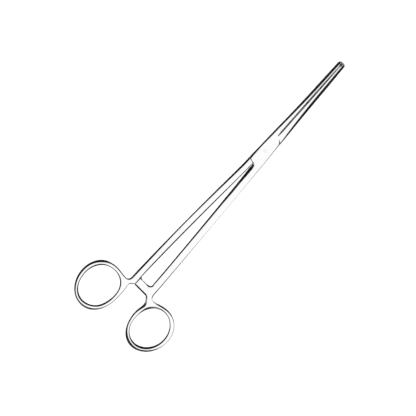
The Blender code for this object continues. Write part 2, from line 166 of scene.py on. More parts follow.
# %% Sizes
TIP_Y = 120 * MM
PIVOT_X = 0.5 * MM
PIVOT_Y = TIP_Y - 79.8 * MM
PIVOT = Vector((PIVOT_X, PIVOT_Y))
BOX_THICKNESS = 5.6 * MM
MID_Z = BOX_THICKNESS / 2

# Width and length of the hole in each ring.
RIGHT_HOLE = (24.4 * MM, 29.2 * MM)
LEFT_HOLE = (24.6 * MM, 29.6 * MM)
RING_WIRE = 2.55 * MM
RING_THICKNESS = 4.0 * MM
RING_STATIONS = 20
HEEL_ANGLE = radians(124)
HEEL_SINK = 0.7 * MM
HEEL_Y = -TIP_Y + LEFT_HOLE[1] + 2 * RING_WIRE - HEEL_SINK
HEEL_FLARE = 1.9 * MM
HEEL_DEPTH = 4.8 * MM

# The tongues are 0.3 mm less high than in the CAD model, a little thicker, with larger fillets.
RATCHET_BOTTOM_Y = HEEL_Y + 0.1 * MM
RATCHET_HEIGHT = 5.7 * MM
RATCHET_DROP = 0.65 * MM
RATCHET_TOP_Y = RATCHET_BOTTOM_Y + RATCHET_HEIGHT
RATCHET_THICKNESS = 2.02 * MM
RATCHET_SPLIT = 0.1 * MM
RATCHET_END_GAP = 0.25 * MM
RATCHET_FILLET = 2.2 * MM
RATCHET_FILLET_LIFT = 0.35 * MM
TOOTH_PITCH = 1.5 * MM

NEAR_SHOULDER_Y = PIVOT_Y - 9.8 * MM
FAR_SHOULDER_Y = PIVOT_Y + 10.2 * MM
BOX_LEFT = 4.55 * MM
BOX_LEFT_TAPER = 0.6 * MM
BOX_RIGHT_NEAR = 5.72 * MM
BOX_RIGHT_FAR = 4.85 * MM
NEAR_SHOULDER_SLANT = radians(24)
FAR_SHOULDER_SLANT = radians(36)
# These two are smaller than in the CAD model, because a wider gap shows a white slit of bench.
SHOULDER_GAP = 0.06 * MM
CROTCH_X = 0.14 * MM
LOCK_FADE = 2.2 * MM
TONGUE_THICKNESS = 2 * MM
TONGUE_INSET = 0.6 * MM
TONGUE_REACH = 2.75 * MM
TONGUE_ROOT = 1.5 * MM
LOCK_CLEARANCE = 0.08 * MM
SLOT_SWING = radians(61)
PIN_RADIUS = 1.2 * MM
PIN_CLEARANCE = 0.04 * MM

SHANK_START_Y = RATCHET_TOP_Y + 3.2 * MM
SHANK_END_Y = NEAR_SHOULDER_Y - 10.4 * MM
SHANK_STATIONS = 6
SHANK_THICKNESS = 4.2 * MM
# The spring of real shanks presses the jaws together; the CAD model's rigid jaws keep 0.3 mm.
JAW_GAP = 0.04 * MM
GROOVE_PITCH = 1.2 * MM
# Cutters reach about this far past what they cut.
CUT = 20 * MM
print("pivot", round(PIVOT_Y / MM, 1), "mm, heel", round(HEEL_Y / MM, 1), "mm")

# %% [markdown]
# ## One arm as a control cage
# A forged arm flows without a seam from its finger ring through the shank to the jaw.
# A loft can't close the ring, and joined pieces would show a crease where they meet.
# So one coarse cage is made: a closed loop of sections for the ring, and one open row of
# sections that grows out of it. Subdivision then rounds the whole cage at once.
# The real arms are flat on top with a ground slope along each edge, and these slopes draw the
# dark outlines in the photo. So each section has the widths of both its slopes, and all of them
# share one angle.

# %% Sections
def mix(start, end, part):
    return start + (end - start) * part


def slope_width(table, y):
    """The width of a ground slope at y, from rows of (y, width) in millimetres."""
    for (low, first), (high, last) in zip(table, table[1:]):
        if y < high * MM:
            break
    part = (y / MM - low) / (high - low)
    return mix(first, last, min(1, max(0, part))) * MM


def slope_points(half_width, half_height, width):
    """Half an outline from the top round an edge to the bottom, for a slope of some width."""
    shoulder = half_height - width * tan(SLOPE)
    upper = [
        (0.6 * (half_width - width), half_height),
        (half_width - width, half_height),
        (half_width - 0.03 * MM, shoulder),
        (half_width, 0.6 * shoulder),
    ]
    return upper + [(half_width, 0)] + [(across, -up) for across, up in reversed(upper)]


class Section:
    """A cross-section: its inner and outer edge in plan, its thickness and its two slopes."""

    def __init__(self, inner, outer, thickness, inner_slope, outer_slope):
        self.inner = Vector(inner)
        self.outer = Vector(outer)
        self.half = thickness / 2
        self.inner_slope = inner_slope
        self.outer_slope = outer_slope

    def points(self, side):
        """Eighteen control points, from the top round the outer edge and back."""
        middle = (self.inner + self.outer) / 2
        reach = (self.outer - self.inner) / 2
        outward = slope_points(reach.length + OUTSET, self.half, self.outer_slope)
        inward = slope_points(reach.length + OUTSET, self.half, self.inner_slope)
        loop = outward + [(-across, up) for across, up in reversed(inward)]
        way = reach.normalized()
        plan = [(middle + way * across, up) for across, up in loop]
        return [Vector((side * spot.x, spot.y, MID_Z + up)) for spot, up in plan]


# Seen from above, a slope this steep mirrors the dark part of the room, whichever way it faces.
SLOPE = radians(26)
# In the photo the sides of the arms lie this much further out than in the CAD model.
OUTSET = 0.28 * MM
print("ground slopes of", round(SLOPE / pi * 180), "degrees")

# %% [markdown]
# ## Finger rings
# A smith bends each ring round a horn and closes it at the heel, so it is nearly an oval.
# A plain oval misses the photo's outlines by up to 1.6 mm, so tables move its hole and its rim.
# These tables aren't a design. Another script measured the photo and the render of this model
# every 24 degrees round each ring and worked the numbers out, and some were then changed by hand.
# To change a ring, start again from the plain oval, with offsets of 0 and slopes of about 1 mm.

# %% Finger rings
def around(table, angle):
    """The value at an angle, from values in millimetres at equal steps round the ring."""
    place = angle / (2 * pi) * len(table) % len(table)
    step = int(place)
    return mix(table[step], table[(step + 1) % len(table)], place - step) * MM


class FingerRing:
    """An oval finger ring; the near side faces the middle line. Bent by hand, it is not a true
    oval: its tables give how far the hole and the rim lie outside one, and their slopes."""

    def __init__(self, width, length, near_side, lead, lean, tables):
        self.width = width
        self.length = length
        self.centre = Vector((
            near_side + RING_WIRE + width / 2,
            lead - TIP_Y + RING_WIRE + length / 2,
        ))
        self.turn = Matrix.Rotation(lean, 2)
        self.tables = tables

    def spot_and_normal(self, angle):
        spot = Vector((cos(angle) * self.width / 2, sin(angle) * self.length / 2))
        normal = Vector((spot.x / self.width ** 2, spot.y / self.length ** 2)).normalized()
        return self.turn @ spot, self.turn @ normal

    def sections(self, heel_outer, heel_inner):
        """Sixteen points at each station round the ring; the first two rims belong to the heel."""
        # Subdivision draws a loop in a little, so the cage stands out by as much.
        loop_factor = 3 / (2 + cos(2 * pi / RING_STATIONS))
        rows = []
        for index in range(RING_STATIONS):
            angle = HEEL_ANGLE + 2 * pi * index / RING_STATIONS
            spot, normal = self.spot_and_normal(angle)
            hole_out, rim_out, hole_slope, rim_slope = (around(table, angle) for table in self.tables)
            hole = self.centre + (spot + normal * hole_out) * loop_factor
            rim = self.centre + (spot + normal * (RING_WIRE + rim_out)) * loop_factor
            if index == 0:
                rim = heel_outer
            if index == 1:
                rim = heel_inner
            middle, reach = (hole + rim) / 2, (rim - hole) / 2
            half = RING_THICKNESS / 2
            hole_side = slope_points(reach.length, half, hole_slope)[1:5]
            rim_side = slope_points(reach.length, half, rim_slope)[1:5]
            over = [(-across, up) for across, up in reversed(hole_side)]
            over += [((hole_slope - rim_slope) / 2, half)] + rim_side
            under = [(across, -up) for across, up in reversed(over[1:-1])]
            way = reach.normalized()
            rows.append([(middle + way * across, MID_Z + up) for across, up in over + under])
        return rows


# The tables go round in steps of 24 degrees from the side that faces away from the middle line.
# Their rows are the hole's offset, the rim's offset, the hole's slope and the rim's slope.
right_ring = FingerRing(*RIGHT_HOLE, 8.1 * MM, 1.85 * MM, radians(-3), (
    (-0.65, -0.41, -0.27, -0.19, -0.08, -0.08, 0.03, 0.0, 0.0, 0.6, 0.32, -0.39, -0.94, -1.16, -0.85),
    (0.0, 0.44, 0.58, 0.23, 0.1, 0.4, 0.7, 0.88, 0.14, 0.46, 0.9, 0.74, -0.02, -0.31, -0.38),
    (1.1, 0.98, 0.63, 0.62, 0.56, 1.5, 1.85, 0.38, 0.42, 0.48, 0.65, 1.25, 1.55, 1.68, 1.3),
    (0.26, 0.44, 0.32, 0.64, 1.2, 1.3, 2.3, 1.02, 1.05, 0.91, 1.75, 1.8, 1.2, 1.3, 0.62),
))
left_ring = FingerRing(*LEFT_HOLE, 8.0 * MM, 0, radians(7), (
    (-0.18, 0.03, 0.26, 0.12, 0.25, 1.0, 1.07, 0.2, -0.32, 0.1, -0.33, -0.52, -0.4, -0.29, -0.42),
    (0.61, 1.18, 1.55, 0.5, 0.55, 1.3, 1.55, 0.35, 0.12, 0.56, 0.77, 0.21, -0.06, -0.24, 0.2),
    (0.68, 1.0, 1.05, 0.5, 0.58, 1.0, 1.0, 0.8, 1.38, 1.26, 1.05, 1.34, 1.17, 0.78, 0.56),
    (1.45, 1.38, 2.15, 0.76, 0.9, 0.72, 0.48, 0.5, 0.32, 0.85, 1.32, 1.08, 0.88, 1.1, 1.36),
))
print("ring centres", [round(v / MM, 1) for v in (*right_ring.centre, *left_ring.centre)], "mm")

# %% From ring to shank
def heel_rims(outer, inner, drop):
    """The rim points of the ring where the heel starts: its outer and its inner corner."""
    return Vector((outer, HEEL_Y - drop)), Vector((inner, HEEL_Y - HEEL_DEPTH))


def heel_sections(inner, turn_in, width, corner, inner_slope, outer_slope):
    """Three sections. Below the corner, a height over HEEL_Y, the inner edge turns towards the
    ring by turn_in. Above it the edge is straight, with a narrower slope."""
    outer = inner + width
    low = (inner + turn_in, HEEL_Y - 0.27 * HEEL_DEPTH)
    low_out = (outer + 0.27 * HEEL_FLARE, HEEL_Y + 0.19 * HEEL_DEPTH)
    rows = [Section(low, low_out, RING_THICKNESS, inner_slope, outer_slope)]
    for rise in (corner, corner + 2.7 * MM):
        high_out = (outer, HEEL_Y + rise + 2.3 * MM)
        rows.append(Section(
            (inner, HEEL_Y + rise), high_out, SHANK_THICKNESS, 0.6 * inner_slope, outer_slope
        ))
    return rows


def shank_sections(inner, inner_end, width, width_end, swell, bow, slopes):
    """The plain run. Half-way its inner edge is moved by bow and its width changed by swell;
    slopes are the tables of the inner and the outer slope."""
    rows = []
    for index in range(SHANK_STATIONS):
        part = index / (SHANK_STATIONS - 1)
        rise = 4 * part * (1 - part)
        y = mix(SHANK_START_Y, SHANK_END_Y, part)
        edge = mix(inner, inner_end, part) + bow * rise
        reach = mix(width, width_end, part) + swell * rise
        ground = [slope_width(table, y) for table in slopes]
        rows.append(Section((edge, y), (edge + reach, y), SHANK_THICKNESS, *ground))
    return rows


# %% [markdown]
# ## Lock and jaws
# On the real forceps each arm is forged thicker at the lock and then tapers to its jaw.
# A separate block for the lock would have to be blended into both ends. Here the same row of
# sections goes on: it shifts across the middle line, widens to the box and narrows to the tip.

# %% Lock
def box_sections(inner, width):
    """The right arm widens into the box and crosses to the left. Three sections lead up to the
    near shoulder, and the others follow the box."""
    outer = inner + width
    low = NEAR_SHOULDER_Y - 2.5 * LOCK_FADE
    crotch = NEAR_SHOULDER_Y - 1.5 * LOCK_FADE
    rounded = mix(SHANK_THICKNESS, BOX_THICKNESS, 0.6)
    thin = 0.4 * MM
    right = 0.38 * MM
    rows = [
        Section((CROTCH_X + 0.2 * MM, low), (outer - 0.3 * MM, low), rounded, thin, right),
        Section(
            (CROTCH_X - 0.2 * MM, crotch),
            (outer - 0.4 * MM, crotch + 1.6 * MM),
            BOX_THICKNESS,
            thin,
            right,
        ),
        Section(
            (-BOX_LEFT - 0.2 * MM, crotch + MM),
            (BOX_RIGHT_NEAR, NEAR_SHOULDER_Y),
            BOX_THICKNESS,
            1.75 * MM,
            right,
        ),
    ]
    for part, left_slope, right_slope in (
        (0.18, 1.45, 0.32),
        (0.48, 1.2, 0.42),
        (0.78, 1.18, 0.48),
        (1.03, 1.35, 0.7),
    ):
        y = mix(NEAR_SHOULDER_Y, FAR_SHOULDER_Y, part)
        edge = mix(BOX_RIGHT_NEAR, BOX_RIGHT_FAR - 0.13 * MM, part)
        left = BOX_LEFT_TAPER * part - BOX_LEFT
        rows.append(Section((left, y), (edge, y), BOX_THICKNESS, left_slope * MM, right_slope * MM))
    return rows


def tongue_sections(inner, width):
    """The left arm crosses to the right. What passes through the box becomes the tongue later."""
    outer = inner + width
    low = NEAR_SHOULDER_Y - 2.5 * LOCK_FADE
    square_y = NEAR_SHOULDER_Y - MM
    rounded = mix(SHANK_THICKNESS, BOX_THICKNESS, 0.6)
    far = FAR_SHOULDER_Y
    thin = 0.6 * MM
    wide = 1.5 * MM
    return [
        Section((inner, low), (outer - 0.15 * MM, low), rounded, thin, wide),
        Section((inner, square_y), (BOX_LEFT, square_y), BOX_THICKNESS, 0.6 * thin, wide),
        Section((-PIVOT_X - 3.5 * MM, PIVOT_Y), (BOX_LEFT, PIVOT_Y), BOX_THICKNESS, thin, thin),
        Section((-BOX_RIGHT_FAR, far - 2 * MM), (BOX_LEFT, far), BOX_THICKNESS, thin, thin),
        Section((-BOX_RIGHT_FAR, far + MM), (BOX_LEFT, far + MM), BOX_THICKNESS, thin, thin),
    ]


# %% Jaws
def gap_x(y):
    """Where the closed jaws meet."""
    return mix(0.27 * MM, -0.2 * MM, (y - FAR_SHOULDER_Y) / (TIP_Y - FAR_SHOULDER_Y))


def jaw_rows(start, middle):
    """The taper of a jaw: share of its length, reach from the seam, thickness and broken edge."""
    tip = 2.5 * MM
    thick = 4.0 * MM
    thin = 2.6 * MM
    return (
        (0.10, start, mix(BOX_THICKNESS, thick, 0.25), 0.6 * MM),
        (0.25, mix(start, middle, 0.5), mix(BOX_THICKNESS, thick, 0.55), 0.6 * MM),
        (0.50, middle, thick, 0.68 * MM),
        (0.75, mix(middle, tip, 0.45), mix(thick, thin, 0.5), 0.64 * MM),
        (0.94, tip, thin, 0.36 * MM),
        (0.967, tip, thin, 1.0 * MM),
        (0.985, tip * 0.92, thin * 0.92, 0.45 * MM),
        (1.003, tip * 0.55, thin * 0.5, 0.2 * MM),
    )


def jaw_sections(side, start, middle, table):
    """A taper centred on the jaw gap; the gap cutter leaves half of it."""
    sections = []
    for part, reach, thickness, _ in jaw_rows(start, middle):
        y = mix(FAR_SHOULDER_Y, TIP_Y, part)
        seam_x = side * gap_x(y)
        slope = min(slope_width(table, y), 0.7 * reach)
        sections.append(Section((seam_x - reach, y), (seam_x + reach, y), thickness, slope, slope))
    return sections


# %% The cage
def new_piece(name, build):
    """A bmesh as an object in the scene, with its faces pointing out."""
    bmesh.ops.recalc_face_normals(build, faces=build.faces)
    mesh = bpy.data.meshes.new(name)
    build.to_mesh(mesh)
    build.free()
    piece = bpy.data.objects.new(name, mesh)
    bpy.context.scene.collection.objects.link(piece)
    return piece


# Creases keep the sides upright and both rims of each slope crisp; the upper rim is a little
# softer, as polishing leaves it.
SOFT = 0.32
HARD = 1
RING_CREASES = {3: SOFT, 5: SOFT, 11: SOFT, 13: SOFT}
RING_CREASES.update({index: HARD for index in (0, 1, 2, 6, 7, 8, 9, 10, 14, 15)})
ARM_CREASES = {1: SOFT, 7: SOFT, 10: SOFT, 16: SOFT}
ARM_CREASES.update({index: HARD for index in (2, 3, 4, 5, 6, 11, 12, 13, 14, 15)})


def crease_along(build, here, after, creases):
    layers = build.edges.layers.float
    layer = layers.get("crease_edge") or layers.new("crease_edge")
    for index, sharpness in creases.items():
        edge = build.edges.get((here[index], after[index]))
        if edge:
            edge[layer] = sharpness


def forge_arm(name, side, ring_rows, sections):
    """The cage of one arm, smoothed. The left arm is made on the right and mirrored by side."""
    build = bmesh.new()
    ring = [
        [build.verts.new((side * plan.x, plan.y, up)) for plan, up in row] for row in ring_rows
    ]
    for index in range(RING_STATIONS):
        here, after = ring[index], ring[(index + 1) % RING_STATIONS]
        for step in range(16):
            if index == 0 and 4 <= step <= 11:
                continue
            turn = (step + 1) % 16
            build.faces.new((here[step], here[turn], after[turn], after[step]))
        crease_along(build, here, after, RING_CREASES)
    last = ring[0][4:13] + ring[1][12:3:-1]
    for section in sections:
        loop = [build.verts.new(point) for point in section.points(side)]
        for index in range(18):
            after = (index + 1) % 18
            build.faces.new((last[index], last[after], loop[after], loop[index]))
        crease_along(build, last, loop, ARM_CREASES)
        last = loop
    build.faces.new(last)
    arm = new_piece(name, build)
    smooth = arm.modifiers.new("Smoothing", "SUBSURF")
    smooth.levels = smooth.render_levels = 2
    return arm


# %% [markdown]
# ## Lines and cutters
# The lock is milled: straight walls, cut into the forging. Straight walls are best cut by
# Booleans, with flat prisms as the cutters. The walls of the two arms come from the same
# lines in plan, each moved to its own side by half of the gap, so the two always fit.

# %% Lines in plan
def shifted(line, amount):
    point, direction = line
    return point + Vector((-direction.y, direction.x)) * amount, direction


def turned(line, angle):
    point, direction = line
    turn = Matrix.Rotation(-angle, 2)
    return PIVOT + turn @ (point - PIVOT), turn @ direction


def at(line, reach):
    return line[0] + line[1] * reach


def crossing(first, second):
    (a, u), (b, v) = first, second
    turn = u.x * v.y - u.y * v.x
    return a + u * (((b.x - a.x) * v.y - (b.y - a.y) * v.x) / turn)


def through(start, end):
    return start, (end - start).normalized()


near_shoulder = (
    Vector((-BOX_LEFT, NEAR_SHOULDER_Y)),
    Vector((cos(NEAR_SHOULDER_SLANT), -sin(NEAR_SHOULDER_SLANT))),
)
far_shoulder = (
    Vector((BOX_RIGHT_FAR, FAR_SHOULDER_Y)),
    Vector((-cos(FAR_SHOULDER_SLANT), sin(FAR_SHOULDER_SLANT))),
)
seam = through(Vector((gap_x(FAR_SHOULDER_Y), FAR_SHOULDER_Y)), Vector((gap_x(TIP_Y), TIP_Y)))
tongue_left = through(at(near_shoulder, TONGUE_INSET), crossing(far_shoulder, seam))
far_corner = at(far_shoulder, TONGUE_INSET)
# The tongue's right wall passes the pin at about its reach.
to_pin = PIVOT - far_corner
lean = to_pin.angle(Vector((0, -1))) - TONGUE_REACH / to_pin.length
tongue_right = far_corner, Vector((-sin(lean), -cos(lean)))
print("jaws part at", [round(v / MM, 1) for v in crossing(far_shoulder, seam)], "mm")

# %% Bars and prisms
def swept(name, loops):
    """A closed bar through loops of points."""
    build = bmesh.new()
    rings = [[build.verts.new(spot) for spot in loop] for loop in loops]
    count = len(loops[0])
    for here, after in zip(rings, rings[1:]):
        for index in range(count):
            turn = (index + 1) % count
            build.faces.new((here[index], here[turn], after[turn], after[index]))
    build.faces.new(rings[0])
    build.faces.new(rings[-1])
    return new_piece(name, build)


def prism(name, outline, low, high):
    return swept(name, [[(x, y, z) for x, y in outline] for z in (low, high)])


cutters = []


def combine(target, tool, operation):
    """Adds a Boolean; the tool is removed once all pieces are finished."""
    step = target.modifiers.new(tool.name, "BOOLEAN")
    step.operation = operation
    step.object = tool
    cutters.append(tool)


# %% [markdown]
# ## Teeth by rule
# The jaws grip with a row of fine grooves across their faces, and the ratchet catches with
# coarser ones. Both are the same thing: a three-sided groove repeated along a line.
# Geometry Nodes suit that well. One tree holds the rule, and each row only sets its sizes:
# how many grooves, how far apart, how wide, deep and long, and how far they lean.
# The result cuts the steel, as a file or a milling cutter does on the real jaw.

# %% The tree of a row of grooves
def groove_tree():
    """A row of three-sided bars along Y, which point towards +X."""
    tree = bpy.data.node_groups.new("row_of_grooves", "GeometryNodeTree")
    sockets = {}
    for label, kind, value in (
        ("Count", "NodeSocketInt", 10),
        ("Pitch", "NodeSocketFloat", 0.001),
        ("Width", "NodeSocketFloat", 0.001),
        ("Depth", "NodeSocketFloat", 0.0003),
        ("Length", "NodeSocketFloat", 0.01),
        ("Lean", "NodeSocketFloat", 0.0),
    ):
        socket = tree.interface.new_socket(label, in_out="INPUT", socket_type=kind)
        socket.default_value = value
        sockets[label] = socket.identifier
    finish = tree.interface.new_socket("Finish", in_out="INPUT", socket_type="NodeSocketMaterial")
    sockets["Finish"] = finish.identifier
    tree.interface.new_socket("Geometry", in_out="OUTPUT", socket_type="NodeSocketGeometry")
    given = add_node(tree, "NodeGroupInput").outputs
    step = add_node(tree, "ShaderNodeCombineXYZ", {}, {"Y": given["Pitch"]})
    row = add_node(
        tree, "GeometryNodeMeshLine", {}, {"Count": given["Count"], "Offset": step.outputs["Vector"]}
    )
    bar = add_node(tree, "GeometryNodeMeshCylinder", {"Vertices": 3, "Radius": 1, "Depth": 1})
    deep = add_node(
        tree, "ShaderNodeMath", {1: 1.5}, {0: given["Depth"]}, operation="DIVIDE"
    )
    wide = add_node(
        tree, "ShaderNodeMath", {1: 3 ** 0.5}, {0: given["Width"]}, operation="DIVIDE"
    )
    size = add_node(
        tree,
        "ShaderNodeCombineXYZ",
        {},
        {"X": deep.outputs["Value"], "Y": wide.outputs["Value"], "Z": given["Length"]},
    )
    forward = add_node(
        tree,
        "GeometryNodeTransform",
        {"Translation": (0.5, 0, 0)},
        {"Geometry": bar.outputs["Mesh"]},
    )
    sized = add_node(
        tree,
        "GeometryNodeTransform",
        {},
        {"Geometry": forward.outputs["Geometry"], "Scale": size.outputs["Vector"]},
    )
    place = add_node(tree, "GeometryNodeInputPosition")
    parts = add_node(tree, "ShaderNodeSeparateXYZ", {}, {"Vector": place.outputs["Position"]})
    slide = add_node(
        tree,
        "ShaderNodeMath",
        {},
        {0: parts.outputs["X"], 1: given["Lean"]},
        operation="MULTIPLY",
    )
    aside = add_node(tree, "ShaderNodeCombineXYZ", {}, {"Y": slide.outputs["Value"]})
    leaning = add_node(
        tree,
        "GeometryNodeSetPosition",
        {},
        {"Geometry": sized.outputs["Geometry"], "Offset": aside.outputs["Vector"]},
    )
    bars = add_node(
        tree,
        "GeometryNodeInstanceOnPoints",
        {},
        {"Points": row.outputs["Mesh"], "Instance": leaning.outputs["Geometry"]},
    )
    real = add_node(
        tree, "GeometryNodeRealizeInstances", {}, {"Geometry": bars.outputs["Instances"]}
    )
    painted = add_node(
        tree,
        "GeometryNodeSetMaterial",
        {},
        {"Geometry": real.outputs["Geometry"], "Material": given["Finish"]},
    )
    add_node(tree, "NodeGroupOutput", {}, {"Geometry": painted.outputs["Geometry"]})
    return tree, sockets


grooves, groove_inputs = groove_tree()
print("groove inputs", ", ".join(groove_inputs))

# %% A row of grooves
def groove_row(name, place, sizes):
    """One row as a plain mesh, laid at its place by a matrix."""
    maker = bpy.data.objects.new(name, bpy.data.meshes.new(name))
    bpy.context.scene.collection.objects.link(maker)
    rule = maker.modifiers.new("Grooves", "NODES")
    rule.node_group = grooves
    for label, value in sizes.items():
        rule[groove_inputs[label]] = value
    rule[groove_inputs["Finish"]] = satin
    graph = bpy.context.evaluated_depsgraph_get()
    row = bpy.data.meshes.new_from_object(maker.evaluated_get(graph))
    bpy.data.objects.remove(maker)
    row.transform(place)
    if place.determinant() < 0:
        row.flip_normals()
    print(name, sizes["Count"], "grooves,", len(row.polygons), "faces")
    piece = bpy.data.objects.new(name, row)
    bpy.context.scene.collection.objects.link(piece)
    return piece


def jaw_grooves(name, side):
    """The grooves of one jaw face, along the seam. The side is -1 for the left jaw."""
    start = crossing(far_shoulder, seam).y + 2 * MM
    count = int((TIP_Y - 1.5 * MM - start) / GROOVE_PITCH)
    face = gap_x(start) + side * (JAW_GAP / 2 - 0.05 * MM)
    turn = Matrix.Rotation(seam[1].angle_signed(Vector((0, 1))), 4, "Z")
    flip = Matrix.Diagonal((side, 1, 1, 1))
    place = Matrix.Translation((face, start + GROOVE_PITCH / 2, MID_Z)) @ turn @ flip
    sizes = {
        "Count": count,
        "Pitch": GROOVE_PITCH,
        "Width": 1.08 * MM,
        "Depth": 0.4 * MM,
        "Length": 1.5 * MM,
        "Lean": 0.0,
    }
    return groove_row(name, place, sizes)


# %% [markdown]
# ## Cutting the two arms
# The right arm gets a notch for the other shank, room for the other jaw, and the slot.
# The left arm is cleared through the whole lock, and then gets its thin tongue back.
# The slot opens as far as the tongue turns, 58 degrees, and a little more.

# %% Ground edges
def furrow(name, rows, side):
    """A V-shaped bar along a face, from rows of (x, y, z, half width, depth); side is 1 for an
    upper face and -1 for a lower one."""
    loops = []
    for index, (x, y, z, half, deep) in enumerate(rows):
        before = rows[max(0, index - 1)]
        after = rows[min(len(rows) - 1, index + 1)]
        along = Vector((after[0] - before[0], after[1] - before[1], 0)).normalized()
        across = Vector((along.y, -along.x, 0)) * 2 * half
        spot = Vector((x, y, z))
        lift = Vector((0, 0, side * deep))
        loops.append((spot - lift, spot + across + lift, spot - across + lift))
    return swept(name, loops)


def crotch_slope(side):
    """The wide slope ground on the right shank's inner side, which runs out at the lock. The rows
    are y, x at the slope's foot, x at its top and z at its top, in millimetres."""
    rows = (
        (-8.0, 1.88, 3.1, 4.9),
        (0.0, 1.53, 2.95, 4.9),
        (5.0, 1.25, 2.85, 4.9),
        (10.0, 0.95, 2.62, 4.9),
        (15.0, 0.67, 2.4, 4.9),
        (20.0, 0.3, 2.35, 4.97),
        (22.5, 0.1, 2.34, 5.12),
        (24.9, -0.05, 2.24, 5.3),
        (27.1, -0.2, 2.05, 5.55),
        (28.2, -0.2, 1.5, 5.58),
        (28.9, -0.1, 0.8, 5.6),
        (29.4, 0.0, 0.2, 5.6),
    )
    loops = []
    for y, low_x, top_x, top_z in rows:
        upper = Vector((top_x, y, top_z)) * MM
        lower = Vector((low_x, y, top_z - (top_x - low_x) * tan(SLOPE))) * MM
        way = (upper - lower).normalized() * 4 * MM
        corner = Vector((low_x - 5, y, top_z + 4)) * MM
        spots = [upper + way, lower - way, corner]
        loops.append([Vector((spot.x, spot.y, MID_Z + side * (spot.z - MID_Z))) for spot in spots])
    return swept("crotch_slope", loops)


def break_edges(arm):
    """Breaks the sharp edges along the jaw gap, more at its tip, and along both shoulders. A
    shoulder's rows are the way along it and half the width of its furrow, in millimetres."""
    start = crossing(far_shoulder, seam)
    shoulders = (
        (near_shoulder, ((0.4, 0.2), (1.0, 0.5), (1.8, 0.44), (2.8, 0.33), (5.3, 0.38))),
        (far_shoulder, ((-1.0, 0.75), (0.8, 0.5), (1.8, 0.4), (2.8, 0.18), (3.4, 0.08))),
    )
    for side in (1, -1):
        face = MID_Z + side * BOX_THICKNESS / 2
        rows = [(start.x, start.y - 0.2 * MM, face, 0.46 * MM, 0.24 * MM)]
        for part, _, thickness, half in jaw_rows(0, 0):
            y = mix(FAR_SHOULDER_Y, TIP_Y, part)
            if y > start.y + 2 * MM:
                rows.append((gap_x(y), y, MID_Z + side * thickness / 2, half, 0.53 * half))
        combine(arm, furrow("seam_edge", rows, side), "DIFFERENCE")
        for line, widths in shoulders:
            rows = [
                (*at(line, reach * MM), face, half * MM, 0.55 * half * MM) for reach, half in widths
            ]
            combine(arm, furrow("shoulder_edge", rows, side), "DIFFERENCE")


# %% Cuts
def cut_box(arm):
    near = shifted(near_shoulder, SHOULDER_GAP / 2)
    inner = crossing(near, (Vector((CROTCH_X, 0)), Vector((0, 1))))
    below = inner.y - CUT
    notch = [at(near, -CUT)[:], inner[:], (inner.x, below), (-CUT, below)]
    combine(arm, prism("near_notch", notch, -CUT, CUT), "DIFFERENCE")
    for side in (1, -1):
        combine(arm, crotch_slope(side), "DIFFERENCE")
    beyond = TIP_Y + CUT
    far = shifted(far_shoulder, SHOULDER_GAP / 2)
    root = crossing(far, shifted(seam, JAW_GAP / 2))
    room = [at(far, -CUT)[:], root[:], (gap_x(TIP_Y) - JAW_GAP / 2, TIP_Y)]
    room += [(root.x, beyond), (CUT, beyond)]
    combine(arm, prism("jaw_room", room, -CUT, CUT), "DIFFERENCE")
    left = shifted(tongue_left, SHOULDER_GAP / 2)
    right = shifted(tongue_right, SHOULDER_GAP / 2)
    left_open = turned(left, SLOT_SWING)
    right_open = turned(right, SLOT_SWING)
    window = [
        at(left_open, -CUT)[:],
        crossing(left_open, left)[:],
        at(left, 1.6 * CUT)[:],
        (CUT, PIVOT_Y + CUT),
        at(right_open, -CUT)[:],
        crossing(right_open, right)[:],
        at(right, 1.3 * CUT)[:],
        (-CUT, PIVOT_Y - CUT),
    ]
    half = TONGUE_THICKNESS / 2 + LOCK_CLEARANCE
    combine(arm, prism("window", window, MID_Z - half, MID_Z + half), "DIFFERENCE")
    combine(arm, jaw_grooves("left_jaw_grooves", -1), "DIFFERENCE")
    break_edges(arm)


def cut_tongue(arm):
    beyond = TIP_Y + CUT
    near = shifted(near_shoulder, -SHOULDER_GAP / 2)
    far = shifted(far_shoulder, -SHOULDER_GAP / 2)
    root = crossing(far, shifted(seam, -JAW_GAP / 2))
    room = [at(near, -CUT)[:], at(near, CUT)[:], at(far, -CUT)[:], root[:]]
    room += [(gap_x(TIP_Y) + JAW_GAP / 2, TIP_Y), (root.x, beyond), (-CUT, beyond)]
    combine(arm, prism("lock_room", room, -CUT, CUT), "DIFFERENCE")
    left = shifted(tongue_left, -SHOULDER_GAP / 2)
    right = shifted(tongue_right, -SHOULDER_GAP / 2)
    near_root = shifted(near, -TONGUE_ROOT)
    far_root = shifted(far, -TONGUE_ROOT)
    crotch = crossing(near_shoulder, (Vector((CROTCH_X - TONGUE_INSET, 0)), Vector((0, 1))))
    level = (Vector((0, NEAR_SHOULDER_Y)), Vector((1, 0)))
    plate = [
        crossing(near_root, left)[:],
        crossing(near_root, (crotch, Vector((0, 1))))[:],
        crotch[:],
        crossing(right, level)[:],
        crossing(right, far_root)[:],
        crossing(far_root, left)[:],
    ]
    half = TONGUE_THICKNESS / 2
    combine(arm, prism("tongue_plate", plate, MID_Z - half, MID_Z + half), "UNION")
    combine(arm, jaw_grooves("right_jaw_grooves", 1), "DIFFERENCE")
    break_edges(arm)


# %% [markdown]
# ## Ratchet
# Each shank carries a flat tongue near its ring. The two lie one on the other, with their teeth
# face to face, so that a squeeze of the fingers locks the jaws. The tongue is forged with the arm,
# with a fillet where it leaves the shank. A flat prism is joined to the arm for it, and its edges
# are broken with the same furrows as the shoulders.

